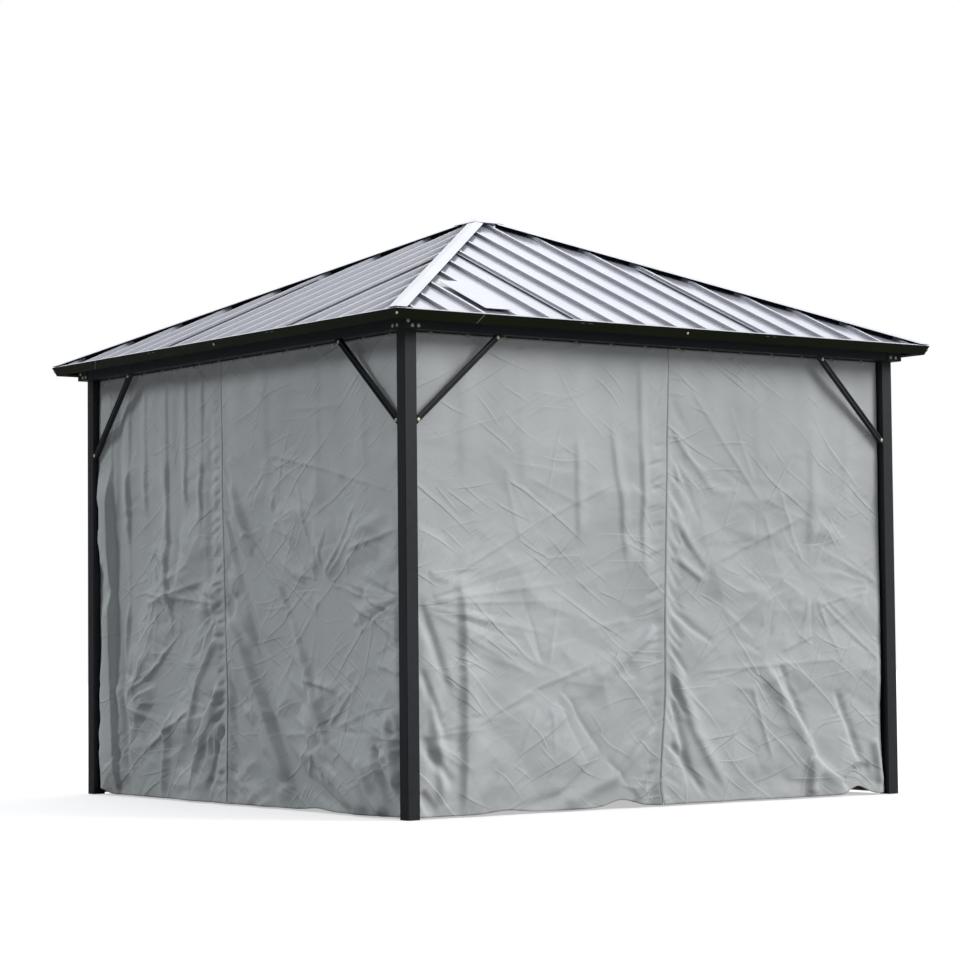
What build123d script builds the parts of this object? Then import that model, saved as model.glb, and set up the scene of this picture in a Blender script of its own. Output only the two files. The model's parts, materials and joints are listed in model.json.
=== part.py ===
from build123d import *
import os
from math import atan2, cos, hypot, pi, radians, sin, sqrt, tan

# Garden pavilion: a square steel hip roof on four posts, closed with hung curtains.
# Millimetres. The origin is the centre of the plan, on the ground. Front is -Y, left is -X.

# Posts: square tubes that stand on the ground
POST_SIDE = 60.0
POST_WALL = 1.8
POST_CORNER = 3.0
POST_SPAN = 2746.0
POST_HEIGHT = 2004.0
FOOT_PLATE = 3.0

# Beams: a hollow rail with a curtain track along its inner side
BEAM_HEIGHT = 68.0
RAIL_WIDTH = 57.0
BEAM_WALL = 2.0
BEAM_OVERHANG = 31.0
TRACK_WIDTH = 36.0
TRACK_HEIGHT = 26.0
TRACK_SLOT = 8.0

# Corner brackets: bent plates outside each beam corner
BRACKET_LEG = 90.0
BRACKET_HEIGHT = 52.0
BRACKET_PLATE = 3.0
BRACKET_BEND = 2.5

# Knee braces between the posts and the beams
BRACE_REACH = 410.0
BRACE_DROP = 376.0
BRACE_SPLAY = 30.0
BRACE_WIDTH = 20.0
BRACE_DEPTH = 22.0
BRACE_INSET = 2.0
BRACE_GROOVE = 6.0
BRACE_GROOVE_DEPTH = 6.0

# Roof sheets: flat pans between raised ribs
EAVE_OVERHANG = 127.0
ROOF_PITCH = 23.9
SHEET = 0.8
RIB_HEIGHT = 14.0
RIB_FOOT = 26.0
RIB_TOP = 16.0
RIB_PITCH = 173.5
RIBS_TO_LAP = 3
LAP_LIP = 5.0
HIP_GAP = 3.0
SHEET_STOP = 45.0

# Fascia: a folded channel that closes the eaves
FASCIA_FACE = 45.0
FASCIA_PLATE = 1.2
FASCIA_TOP_FLANGE = 14.0
FASCIA_LOWER_FLANGE = 18.0
FASCIA_JOINT = 430.0
FASCIA_JOINT_SLANT = 36.0
FASCIA_JOINT_GAP = 0.6

# Hip caps, the top cap and the cover strip over one front pan
HIP_CAP_WING = 40.0
HIP_CAP_PLATE = 1.2
HIP_CAP_LIFT = 5.0
HIP_CAP_SETBACK = 2.0
HIP_CAP_STOP = 45.0
TOP_CAP_SIDE = 170.0
TOP_CAP_FLAT = 40.0
TOP_CAP_PLATE = 1.5
RIBS_TO_STRIP = 6
STRIP_PLATE = 1.2
STRIP_SIDE_GAP = 44.0
STRIP_LAP = 20.0
STRIP_LOW_END = 95.0
STRIP_HIGH_END = 480.0

# Rafters and the hub where they meet
RAFTER_WIDTH = 40.0
RAFTER_DEPTH = 22.0
HIP_RAFTER_WIDTH = 30.0
HIP_FIN = 3.0
RAFTER_WALL = 1.5
HUB_APOTHEM = 80.0
HUB_HEIGHT = 34.0
HUB_WALL = 3.0

# Curtains: two hung panels a side, and the hooks that carry them
CURTAIN_THICKNESS = 2.0
CURTAIN_SETBACK = 40.0
CURTAIN_DROP = 3.0
CURTAIN_HEM = 6.0
CURTAIN_POST_GAP = 4.0
CURTAIN_SEAM_GAP = 3.0
CURTAIN_SEAM = {"front": 25.0, "right": 0.0, "back": 0.0, "left": -95.0}
FOLD_TOP = 4.0
FOLD_HEM = 22.0
HEM_BULGE = 22.0
FOLDS_PER_PANEL = 7
HOOK_WIDTH = 14.0
HOOK_PLATE = 1.2
HOOK_LAP = 10.0
GLIDER_WIDTH = 16.0
GLIDER_THICKNESS = 3.0

# Clearance at a seat, where one piece lies on another
SEAT = 0.3

# Values that follow from the sizes above
POST_OUTER = POST_SPAN / 2
POST_INNER = POST_OUTER - POST_SIDE
POST_CENTRE = POST_OUTER - POST_SIDE / 2
HALF = POST_OUTER + EAVE_OVERHANG
PITCH = radians(ROOF_PITCH)
RISE = tan(PITCH)
HIP_RUN = sqrt(2 + RISE**2)
WING_SLOPE = RISE / HIP_RUN
HIP_UPRIGHT = sqrt(2) / HIP_RUN
BEAM_OUTER = POST_OUTER + BEAM_OVERHANG
RAIL_INNER = BEAM_OUTER - RAIL_WIDTH
BEAM_INNER = RAIL_INNER - TRACK_WIDTH
BEAM_TOP = POST_HEIGHT + BEAM_HEIGHT
CURTAIN_OUTER_FACE = POST_OUTER - CURTAIN_SETBACK
CURTAIN_INNER_FACE = CURTAIN_OUTER_FACE - CURTAIN_THICKNESS
CURTAIN_TOP = POST_HEIGHT - CURTAIN_DROP
HANG_LINE = CURTAIN_OUTER_FACE + SEAT + HOOK_PLATE / 2
LAP_GROWTH = SHEET + SEAT
FLANGE_LEVEL = RIB_HEIGHT + LAP_GROWTH + SEAT
ROOF_SKIN = FLANGE_LEVEL + FASCIA_PLATE
HIP_CAP_LEVEL = ROOF_SKIN + HIP_CAP_LIFT
TOP_CAP_LEVEL = HIP_CAP_LEVEL + HIP_CAP_PLATE + SEAT
RAFTER_BOTTOM = -SHEET - RAFTER_DEPTH
EAVE_TOP = BEAM_TOP + SEAT - (HALF - BEAM_OUTER) * RISE + (ROOF_SKIN - RAFTER_BOTTOM) / cos(PITCH)
EAVE_INSET = FASCIA_PLATE + SEAT
SLOPE_LENGTH = HALF / cos(PITCH)
COLUMN_HEIGHT = EAVE_TOP + 2 * HALF
QUARTER_TURNS = {"front": 0, "right": 90, "back": 180, "left": 270}
CORNER_TURNS = {"front_left": 0, "front_right": 90, "back_right": 180, "back_left": 270}


def roof_height(distance, level):
    """Height of a roof plane at a plan distance from the centre. Level counts up from the pan, square to it."""
    return EAVE_TOP + (HALF - distance) * RISE - (ROOF_SKIN - level) / cos(PITCH)


# Frame of the front slope at the eave: X along the eave, Y square to the slope, Z down the slope
SLOPE = Plane(
    origin=(0, -HALF + ROOF_SKIN * sin(PITCH), EAVE_TOP - ROOF_SKIN * cos(PITCH)),
    x_dir=(1, 0, 0),
    z_dir=(0, -cos(PITCH), -sin(PITCH)),
)

# Section across the front eave: X up the slope, Y square to it
EAVE_SECTION = Plane(origin=SLOPE.origin, x_dir=(0, cos(PITCH), sin(PITCH)), z_dir=(1, 0, 0))

# Section across the front wall: X outwards, Y up
WALL_SECTION = Plane(origin=(0, 0, 0), x_dir=(0, -1, 0), z_dir=(-1, 0, 0))


def hip_section(level):
    """Section square to the front left hip at the eave corner. Y stands up from the hip line, Z runs down it."""
    return Plane(origin=(-HALF, -HALF, roof_height(HALF, level)), x_dir=(1, -1, 0), z_dir=(-1, -1, -RISE))


def closed_face(points):
    """Face inside a closed outline of straight edges."""
    return make_face(Polyline(*points, close=True))


def rectangle_face(x_low, x_high, y_low, y_high):
    """Face of a rectangle between four limits."""
    return closed_face([(x_low, y_low), (x_high, y_low), (x_high, y_high), (x_low, y_high)])


def folded_face(points, thickness):
    """Section of a plate folded along a line of points, with its thickness on their right."""
    steps = [(end[0] - start[0], end[1] - start[1]) for start, end in zip(points, points[1:])]
    normals = [(dy / hypot(dx, dy), -dx / hypot(dx, dy)) for dx, dy in steps]
    inner = []
    for index, (x, y) in enumerate(points):
        before = normals[max(index - 1, 0)]
        after = normals[min(index, len(normals) - 1)]
        share = thickness / (1 + before[0] * after[0] + before[1] * after[1])
        inner.append((x + share * (before[0] + after[0]), y + share * (before[1] + after[1])))
    return closed_face(points + inner[::-1])


def front_quarter(gap=0.0):
    """The quarter of the plan in front of the centre, between the two hips and set back from them by a gap."""
    reach = 2 * HALF
    tip = -gap * sqrt(2)
    outline = closed_face([(0, tip), (-reach, tip - reach), (reach, tip - reach)])
    return extrude(outline, amount=COLUMN_HEIGHT)


def octagon_column(apothem):
    """An eight-sided column about the centre, with one flat towards each wall and each corner."""
    outline = RegularPolygon(radius=apothem, side_count=8, major_radius=False, rotation=22.5)
    return extrude(outline, amount=COLUMN_HEIGHT)


def make_post():
    """The front left post: a square tube with rounded corners and a closed foot."""
    bore_side = POST_SIDE - 2 * POST_WALL
    bore = RectangleRounded(bore_side, bore_side, POST_CORNER - POST_WALL)
    tube = extrude(RectangleRounded(POST_SIDE, POST_SIDE, POST_CORNER) - bore, amount=POST_HEIGHT)
    foot = extrude(bore, amount=FOOT_PLATE)
    return Pos(-POST_CENTRE, -POST_CENTRE, 0) * (tube + foot)


def make_beam():
    """The front beam: a hollow rail and a slotted curtain track, mitred at both corners."""
    track_top = POST_HEIGHT + TRACK_HEIGHT
    floor = POST_HEIGHT + BEAM_WALL
    rail = rectangle_face(RAIL_INNER, BEAM_OUTER, POST_HEIGHT, BEAM_TOP)
    track = rectangle_face(BEAM_INNER, RAIL_INNER, POST_HEIGHT, track_top)
    rail_bore = rectangle_face(RAIL_INNER + BEAM_WALL, BEAM_OUTER - BEAM_WALL, floor, BEAM_TOP - BEAM_WALL)
    track_bore = rectangle_face(BEAM_INNER + BEAM_WALL, RAIL_INNER, floor, track_top - BEAM_WALL)
    slot = rectangle_face(HANG_LINE - TRACK_SLOT / 2, HANG_LINE + TRACK_SLOT / 2, POST_HEIGHT, floor)
    profile = rail + track - rail_bore - track_bore - slot
    return extrude(WALL_SECTION * profile, amount=BEAM_OUTER, both=True) & front_quarter()


def make_corner_bracket():
    """A bent plate that wraps the front left beam corner from outside."""
    corner = BEAM_OUTER + BRACKET_PLATE
    end = BRACKET_LEG - corner
    section = folded_face([(-corner, end), (-corner, -corner), (end, -corner)], -BRACKET_PLATE)
    plate = Pos(0, 0, POST_HEIGHT) * extrude(section, amount=BRACKET_HEIGHT)
    bend = plate.edges().filter_by(Axis.Z).sort_by_distance((-corner, -corner, POST_HEIGHT))[0]
    return fillet(bend, BRACKET_BEND)


def make_brace():
    """The brace from the front left post out to the front beam, cut to both and grooved along two faces."""
    turn = atan2(BRACE_SPLAY, BRACE_REACH)
    outer_face = Plane(
        origin=(-POST_INNER, -POST_OUTER + BRACE_INSET, 0),
        x_dir=(cos(turn), -sin(turn), 0),
        z_dir=(-sin(turn), -cos(turn), 0),
    )
    head = BRACE_REACH / cos(turn)
    angle = atan2(BRACE_DROP, head)
    start = -BRACE_DEPTH
    foot = POST_HEIGHT - BRACE_DROP + start * tan(angle)

    def bar(plane, width, depth):
        half_up = width / cos(angle) / 2
        half_along = width / sin(angle) / 2
        corners = [(start, foot - half_up), (head + half_along, POST_HEIGHT)]
        corners += [(head - half_along, POST_HEIGHT), (start, foot + half_up)]
        return extrude(plane * closed_face(corners), amount=-depth)

    groove_floor = outer_face.offset(BRACE_GROOVE_DEPTH - BRACE_DEPTH)
    grooves = bar(outer_face, BRACE_GROOVE, BRACE_GROOVE_DEPTH) + bar(groove_floor, BRACE_GROOVE, BRACE_GROOVE_DEPTH)
    beside_post = extrude(rectangle_face(-POST_INNER, 0, -BEAM_OUTER, 0), amount=POST_HEIGHT)
    return (bar(outer_face, BRACE_WIDTH, BRACE_DEPTH) - grooves) & beside_post


def rib_points(number, growth=0.0):
    """Corners of one rib from its left foot to its right, its surface moved out evenly by a growth."""
    slant = atan2(RIB_HEIGHT, (RIB_FOOT - RIB_TOP) / 2)
    top = RIB_TOP / 2 + growth * tan(slant / 2)
    foot = RIB_FOOT / 2 + growth / sin(slant)
    centre = number * RIB_PITCH
    height = RIB_HEIGHT + growth
    return [(centre - foot, 0), (centre - top, height), (centre + top, height), (centre + foot, 0)]


def make_roof_sheets():
    """The front slope: a middle sheet and two side sheets lapped over its outer ribs, all cut to the hips."""
    slant = atan2(RIB_HEIGHT, (RIB_FOOT - RIB_TOP) / 2)
    middle = []
    for number in range(-RIBS_TO_LAP, RIBS_TO_LAP + 1):
        middle += rib_points(number)
    lap = rib_points(RIBS_TO_LAP, LAP_GROWTH)
    lip = (lap[1][0] - LAP_LIP * cos(slant), lap[1][1] - LAP_LIP * sin(slant))
    side = [lip] + lap[1:]
    for number in range(RIBS_TO_LAP + 1, int(HALF / RIB_PITCH) + 1):
        side += rib_points(number)
    side.append((HALF + RIB_PITCH, 0))
    start = SLOPE.offset(-EAVE_INSET)
    length = (HALF - SHEET_STOP) / cos(PITCH)
    quarter = front_quarter(HIP_GAP)
    middle_sheet = extrude(start * folded_face(middle, SHEET), amount=-length) & quarter
    side_sheet = extrude(start * folded_face(side, SHEET), amount=-length) & quarter
    return Compound(children=[*middle_sheet.solids(), *side_sheet.solids(), *mirror(side_sheet, Plane.YZ).solids()])


def make_fascia():
    """The front fascia: a folded channel over the sheet ends, mitred at the corners, with one slanted joint."""
    low = ROOF_SKIN - FASCIA_FACE
    path = [(FASCIA_TOP_FLANGE, ROOF_SKIN), (0, ROOF_SKIN), (0, low), (FASCIA_LOWER_FLANGE, low)]
    channel = extrude(EAVE_SECTION * folded_face(path, -FASCIA_PLATE), amount=HALF, both=True)
    middle = -HALF + FASCIA_JOINT
    lean = FASCIA_JOINT_SLANT / FASCIA_FACE
    margin = FASCIA_PLATE
    bottom = middle - FASCIA_JOINT_SLANT / 2 - margin * lean
    top = middle + FASCIA_JOINT_SLANT / 2 + margin * lean
    cut = closed_face([
        (bottom, low - margin),
        (bottom + FASCIA_JOINT_GAP, low - margin),
        (top + FASCIA_JOINT_GAP, ROOF_SKIN + margin),
        (top, ROOF_SKIN + margin),
    ])
    joint = extrude(SLOPE.offset(margin) * cut, amount=-FASCIA_LOWER_FLANGE - FASCIA_TOP_FLANGE)
    return (channel & front_quarter()) - joint


def make_hip_cap():
    """The front left hip cap: a folded strip over both slopes, trimmed to the eaves and under the top cap."""
    wing = HIP_CAP_WING / hypot(1, WING_SLOPE)
    path = [(-wing, -wing * WING_SLOPE), (0, 0), (wing, -wing * WING_SLOPE)]
    strip = extrude(hip_section(HIP_CAP_LEVEL) * folded_face(path, -HIP_CAP_PLATE), amount=-HALF * HIP_RUN)
    strip += extrude(hip_section(HIP_CAP_LEVEL) * folded_face(path, -HIP_CAP_PLATE), amount=HIP_CAP_WING)
    edge = HALF - HIP_CAP_SETBACK
    footprint = rectangle_face(-edge, -HIP_CAP_STOP, -edge, -HIP_CAP_STOP)
    return strip & extrude(footprint, amount=COLUMN_HEIGHT)


def make_top_cap():
    """The low four-sided cap over the ends of the hip caps, flat on top and open below."""
    level = TOP_CAP_LEVEL + TOP_CAP_PLATE
    drop = TOP_CAP_PLATE / cos(PITCH)
    low = roof_height(TOP_CAP_SIDE / 2, level)
    high = roof_height(TOP_CAP_FLAT / 2, level)
    base = Rectangle(TOP_CAP_SIDE, TOP_CAP_SIDE)
    body = loft([Pos(0, 0, low) * base, Pos(0, 0, high) * Rectangle(TOP_CAP_FLAT, TOP_CAP_FLAT)], ruled=True)
    rim = extrude(Pos(0, 0, low - drop) * base, amount=drop)
    return (body + rim) - Pos(0, 0, -drop) * body


def make_cover_strip():
    """A flat strip over one front pan, held on the rib at its right and open at its lower end."""
    left = -RIBS_TO_STRIP * RIB_PITCH + RIB_TOP / 2 + STRIP_SIDE_GAP
    right = (1 - RIBS_TO_STRIP) * RIB_PITCH - RIB_TOP / 2 + STRIP_LAP
    level = RIB_HEIGHT + SEAT
    section = rectangle_face(left, right, level, level + STRIP_PLATE)
    length = STRIP_HIGH_END - STRIP_LOW_END
    return extrude(SLOPE.offset(-STRIP_LOW_END) * section, amount=-length)


def tube_face(x_low, x_high, y_low, y_high):
    """Section of a rectangular rafter tube."""
    bore = rectangle_face(x_low + RAFTER_WALL, x_high - RAFTER_WALL, y_low + RAFTER_WALL, y_high - RAFTER_WALL)
    return rectangle_face(x_low, x_high, y_low, y_high) - bore


def make_middle_rafter():
    """The rafter up the middle of the front slope, from the fascia to the hub."""
    section = tube_face(-RAFTER_WIDTH / 2, RAFTER_WIDTH / 2, RAFTER_BOTTOM, -SHEET)
    tube = extrude(SLOPE.offset(-EAVE_INSET) * section, amount=-SLOPE_LENGTH)
    return (tube - octagon_column(HUB_APOTHEM + SEAT)) & front_quarter()


def make_hip_rafter():
    """The rafter under the front left hip: a tube with a fin between the sheets that carries the hip cap."""
    top = -HIP_RAFTER_WIDTH / 2 * WING_SLOPE
    bottom = -(roof_height(BEAM_OUTER, -SHEET) - BEAM_TOP - SEAT) * HIP_UPRIGHT
    climb = 1 / (cos(PITCH) * HIP_RUN)
    setback = EAVE_INSET + (ROOF_SKIN + SHEET) * RISE
    setback += HIP_RAFTER_WIDTH / 2 * cos(PITCH) / sqrt(2) - bottom * sin(PITCH) * HIP_UPRIGHT / 2
    start = hip_section(-SHEET).offset(-setback / climb)
    section = tube_face(-HIP_RAFTER_WIDTH / 2, HIP_RAFTER_WIDTH / 2, bottom, top)
    tube = extrude(start * section, amount=-HALF * HIP_RUN)
    fin_top = (HIP_CAP_LEVEL + SHEET) / cos(PITCH) * HIP_UPRIGHT - HIP_FIN / 2 * WING_SLOPE - SEAT
    fin = extrude(start * rectangle_face(-HIP_FIN / 2, HIP_FIN / 2, top - RAFTER_WALL, fin_top), amount=-HALF * HIP_RUN)
    fin_end = -HALF + FASCIA_TOP_FLANGE
    fin &= extrude(rectangle_face(fin_end, 0, fin_end, 0), amount=COLUMN_HEIGHT)
    footprint = rectangle_face(-HALF, 0, -HALF, 0)
    return (tube + fin - octagon_column(HUB_APOTHEM + SEAT)) & extrude(footprint, amount=COLUMN_HEIGHT)


def make_hub():
    """The eight-sided cup under the peak that the rafters butt against."""
    top = roof_height(HUB_APOTHEM, -SHEET) - SEAT
    outer = RegularPolygon(radius=HUB_APOTHEM, side_count=8, major_radius=False, rotation=22.5)
    inner = RegularPolygon(radius=HUB_APOTHEM - HUB_WALL, side_count=8, major_radius=False, rotation=22.5)
    body = extrude(outer, amount=HUB_HEIGHT) - extrude(inner, amount=HUB_HEIGHT - HUB_WALL)
    return Pos(0, 0, top - HUB_HEIGHT) * body


def panel_limits(side, panel):
    """Left and right edge of one curtain panel, seen from outside its wall."""
    edge = POST_INNER - CURTAIN_POST_GAP
    seam = CURTAIN_SEAM[side]
    if panel == "left":
        return -edge, seam - CURTAIN_SEAM_GAP / 2
    return seam + CURTAIN_SEAM_GAP / 2, edge


def fold_line(limits, height, fold, bulge):
    """Closed outline of a folded curtain's thickness at one height, its valleys where the hooks are."""
    left, right = limits
    steps = 4 * FOLDS_PER_PANEL

    def line(face):
        points = []
        for step in range(steps + 1):
            share = step / steps
            wave = fold * (1 + cos(2 * pi * FOLDS_PER_PANEL * share)) / 2
            points.append((left + (right - left) * share, -face - wave - bulge, height))
        return points

    outer = line(CURTAIN_OUTER_FACE)
    inner = line(CURTAIN_INNER_FACE)
    edges = [Spline(*outer), Line(outer[-1], inner[-1]), Spline(*inner), Line(inner[0], outer[0])]
    return make_face(edges)


def make_curtain(side, panel):
    """One curtain panel, hung from its hooks and fuller at the hem."""
    limits = panel_limits(side, panel)
    hem = fold_line(limits, CURTAIN_HEM, FOLD_HEM, HEM_BULGE)
    head = fold_line(limits, CURTAIN_TOP, FOLD_TOP, 0.0)
    return loft([hem, head], ruled=True)


def make_hooks(side):
    """The curtain hooks of one wall: a glider in the track and a plate down to the head of the curtain."""
    glider_low = POST_HEIGHT + BEAM_WALL + SEAT
    plate_low = CURTAIN_TOP - HOOK_LAP
    hooks = []
    for panel in ("left", "right"):
        left, right = panel_limits(side, panel)
        for number in range(FOLDS_PER_PANEL):
            x = left + (right - left) * (number + 0.5) / FOLDS_PER_PANEL
            glider = Box(HOOK_WIDTH, GLIDER_WIDTH, GLIDER_THICKNESS)
            plate_height = glider_low + GLIDER_THICKNESS / 2 - plate_low
            plate = Pos(0, 0, -plate_height / 2) * Box(HOOK_WIDTH, HOOK_PLATE, plate_height)
            hooks.append(Pos(x, -HANG_LINE, glider_low + GLIDER_THICKNESS / 2) * (glider + plate))
    return hooks


def turned(shape, degrees):
    """A shape turned about the centre of the plan."""
    return Rot(0, 0, degrees) * shape


def mirrored_brace(degrees, flip):
    """A brace at one end of a wall: the front left one, mirrored where asked, then turned to its wall."""
    brace = make_brace()
    return turned(mirror(brace, Plane.YZ) if flip else brace, degrees)


def all_nodes():
    """Every named piece of the pavilion, in place."""
    nodes = {}
    post, bracket, hip_cap, hip_rafter = make_post(), make_corner_bracket(), make_hip_cap(), make_hip_rafter()
    for corner, degrees in CORNER_TURNS.items():
        nodes[corner + "_post"] = turned(post, degrees)
        nodes[corner + "_corner_bracket"] = turned(bracket, degrees)
        nodes[corner + "_hip_cap"] = turned(hip_cap, degrees)
        nodes[corner + "_hip_rafter"] = turned(hip_rafter, degrees)
    beam, sheets, fascia, rafter = make_beam(), make_roof_sheets(), make_fascia(), make_middle_rafter()
    hooks = []
    rafters = []
    for side, degrees in QUARTER_TURNS.items():
        nodes[side + "_beam"] = turned(beam, degrees)
        nodes[side + "_roof_sheets"] = turned(sheets, degrees)
        nodes[side + "_fascia"] = turned(fascia, degrees)
        nodes[side + "_left_brace"] = mirrored_brace(degrees, flip=False)
        nodes[side + "_right_brace"] = mirrored_brace(degrees, flip=True)
        for panel in ("left", "right"):
            nodes[f"{side}_{panel}_curtain"] = turned(make_curtain(side, panel), degrees)
        hooks += [turned(hook, degrees) for hook in make_hooks(side)]
        rafters.append(turned(rafter, degrees))
    nodes["curtain_hooks"] = Compound(children=hooks)
    nodes["middle_rafters"] = Compound(children=rafters)
    nodes["rafter_hub"] = make_hub()
    nodes["top_cap"] = make_top_cap()
    nodes["roof_cover_strip"] = make_cover_strip()
    return nodes


os.makedirs("parts", exist_ok=True)
for name, shape in all_nodes().items():
    export_step(shape, f"parts/{name}.step")
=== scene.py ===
"""Looks of the garden pavilion: finishes, eight cloth curtains with zips, small fittings and the photo's view."""
import json
import logging
import math
from dataclasses import dataclass, field
from enum import Enum

import bpy
import numpy as np
from mathutils import Matrix, Vector
from mathutils.geometry import delaunay_2d_cdt


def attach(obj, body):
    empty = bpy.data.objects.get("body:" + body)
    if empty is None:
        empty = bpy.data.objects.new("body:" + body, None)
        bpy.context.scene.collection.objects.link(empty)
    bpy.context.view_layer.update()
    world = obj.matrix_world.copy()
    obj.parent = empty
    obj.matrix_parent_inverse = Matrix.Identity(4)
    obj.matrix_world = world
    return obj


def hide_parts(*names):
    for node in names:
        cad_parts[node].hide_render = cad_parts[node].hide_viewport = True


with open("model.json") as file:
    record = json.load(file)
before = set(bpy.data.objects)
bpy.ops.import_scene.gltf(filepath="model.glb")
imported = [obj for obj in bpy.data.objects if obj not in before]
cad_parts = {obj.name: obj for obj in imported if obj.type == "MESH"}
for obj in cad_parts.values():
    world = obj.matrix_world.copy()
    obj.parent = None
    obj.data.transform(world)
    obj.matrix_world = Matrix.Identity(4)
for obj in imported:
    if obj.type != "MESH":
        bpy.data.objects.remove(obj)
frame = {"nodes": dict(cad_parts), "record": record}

LOG = logging.getLogger("pavilion")
Piece = bpy.types.Object
Socket = bpy.types.NodeSocket
Colour = tuple[float, float, float, float]
Line = tuple[tuple[float, float], ...]
Triples = tuple[tuple[float, float, float], ...]

# Sizes shared with the frame, in millimetres
MM = 0.001
BRACKET_FACE = 1407.0
BRACE_FOOT = (1313.0, 1371.0, 1628.0)
BRACE_HEAD = (903.0, 1401.0, 2004.0)
BRACE_BOLTS = (0.02, 0.965)
BRACKET_BOLTS = ((-1377.0, 2036.0), (-1356.0, 2018.0), (-1325.0, 2018.0), (1338.0, 2019.0), (1370.0, 2019.0))
CLOTH_PLANE = 1332.0
CLOTH_TOP = 2001.0
CLOTH_HEM = 6.0
POST_EDGE = 1308.0
ROOF_HALF = 1500.0
ROOF_PITCH = math.radians(23.9)
EAVE_TOP = 2072.9
PAN_AT_EAVE = 2054.7
HOOKS_PER_PANEL = 7

# How the cloth is cut and held, in millimetres apart from the two shares
CLOTH_THICKNESS = 0.9
FULLNESS_SHARE = 1.05
HEM_TURN = 20.0
SEAM_GAP = 1.5
SEAM_REACH = (-6.0, 70.0)
POST_REACH = (-10.0, 45.0)
POST_STAND = 3.0
POST_SHARE = 0.35
HEAD_HELD = 60.0
HEAD_PLEAT = 190.0
BRACE_CLEAR = 15.5
BRACE_PART = (1600.0, 1400.0)

# The wave texture repeats every 0.314 m divided by its scale, so this makes threads 0.9 mm apart
THREAD_SCALE = 349.0


class Side(Enum):
    """The four walls, each with the turn in degrees that takes the front wall to it."""

    FRONT = 0
    RIGHT = 90
    BACK = 180
    LEFT = 270

    @property
    def turn(self) -> Matrix:
        """Turn about the upright axis from the front wall to this one."""
        return Matrix.Rotation(math.radians(self.value), 4, "Z")

    @property
    def word(self) -> str:
        """The wall's name as the frame's pieces use it."""
        return self.name.lower()


class Half(Enum):
    """The two curtain panels of a wall, seen from outside."""

    LEFT = "left"
    RIGHT = "right"


# Helpers


def linear(colour: str) -> Colour:
    """Turns a written sRGB colour into the linear values that shaders take.

    Args:
        colour: Six hexadecimal digits, with or without a leading mark.

    Returns:
        Red, green, blue and full opacity.
    """
    digits = colour.lstrip("#")
    parts = [int(digits[i:i + 2], 16) / 255 for i in (0, 2, 4)]
    red, green, blue = (p / 12.92 if p <= 0.04045 else ((p + 0.055) / 1.055) ** 2.4 for p in parts)
    return red, green, blue, 1.0


def tinted(colour: str, by: tuple[float, float, float]) -> Colour:
    """A written colour with its linear red, green and blue scaled."""
    return *(part * scale for part, scale in zip(linear(colour), by)), 1.0


def smooth_step(low: float, high: float, value: np.ndarray) -> np.ndarray:
    """Rises smoothly from 0 at low to 1 at high."""
    share = np.clip((value - low) / (high - low), 0.0, 1.0)
    return share * share * (3 - 2 * share)


def smooth_line(stations: Line, at: np.ndarray) -> np.ndarray:
    """Reads a value off a few stations without a kink at any of them.

    Args:
        stations: Pairs of position and value, in rising order of position.
        at: Positions to read.

    Returns:
        The eased values.
    """
    places, values = zip(*stations)
    steps, reach = 241, 14
    table = np.linspace(places[0], places[-1], steps)
    padded = np.pad(np.interp(table, places, values), reach, mode="edge")
    kernel = np.hanning(2 * reach + 3)[1:-1]
    eased = np.convolve(padded, kernel / kernel.sum(), mode="valid")
    return np.interp(at, table, eased)


def calmed(out: np.ndarray, z: np.ndarray) -> np.ndarray:
    """Draws folds back towards the cloth's plane just below its head, where the hooks hold it."""
    return out * (0.12 + 0.88 * smooth_step(CLOTH_TOP, CLOTH_TOP - HEAD_HELD, z))


def spot(x: float, out: float, z: float) -> Matrix:
    """Place on the front wall: along it, out from the centre of the plan, and above the ground."""
    return Matrix.Translation((x * MM, -out * MM, z * MM))


def on_fascia(x: float, down: float) -> Matrix:
    """Place on the sloped face of the front fascia, so far below its top edge."""
    out = ROOF_HALF - down * math.sin(ROOF_PITCH)
    height = EAVE_TOP - down * math.cos(ROOF_PITCH)
    return spot(x, out, height) @ Matrix.Rotation(ROOF_PITCH, 4, "X")


def deselect() -> None:
    """Leaves nothing selected, so that the next operator works on its own piece."""
    if bpy.context.object and bpy.context.object.mode != "OBJECT":
        bpy.ops.object.mode_set(mode="OBJECT")
    bpy.ops.object.select_all(action="DESELECT")


def select_only(piece: Piece) -> None:
    """Selects one piece and makes it the active one."""
    deselect()
    piece.select_set(True)
    bpy.context.view_layer.objects.active = piece


def named(name: str) -> Piece:
    """Names the piece that an operator has just made, and its mesh."""
    piece = bpy.context.object
    piece.name = name
    piece.data.name = name
    return piece


def settle(piece: Piece) -> Piece:
    """Bakes a piece's place into its mesh, so that the object sits at the origin.

    Args:
        piece: A mesh object anywhere.

    Returns:
        The same object, unrotated and unscaled at the origin.
    """
    bpy.context.view_layer.update()
    piece.data.transform(piece.matrix_world)
    piece.matrix_world = Matrix.Identity(4)
    return piece


def joined(name: str, pattern: Piece, places: list[Matrix]) -> Piece:
    """Copies one modelled pattern to many places and joins the copies into a single piece.

    Args:
        name: Name of the joined piece.
        pattern: The piece modelled once, at the origin. It is removed afterwards.
        places: One matrix for each copy.

    Returns:
        The joined piece.
    """
    copies = []
    for place in places:
        copy = pattern.copy()
        copy.data = pattern.data.copy()
        copy.data.transform(place)
        bpy.context.collection.objects.link(copy)
        copies.append(copy)
    bpy.data.objects.remove(pattern)
    deselect()
    for copy in copies:
        copy.select_set(True)
    bpy.context.view_layer.objects.active = copies[0]
    if len(copies) > 1:
        bpy.ops.object.join()
    return named(name)


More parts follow.
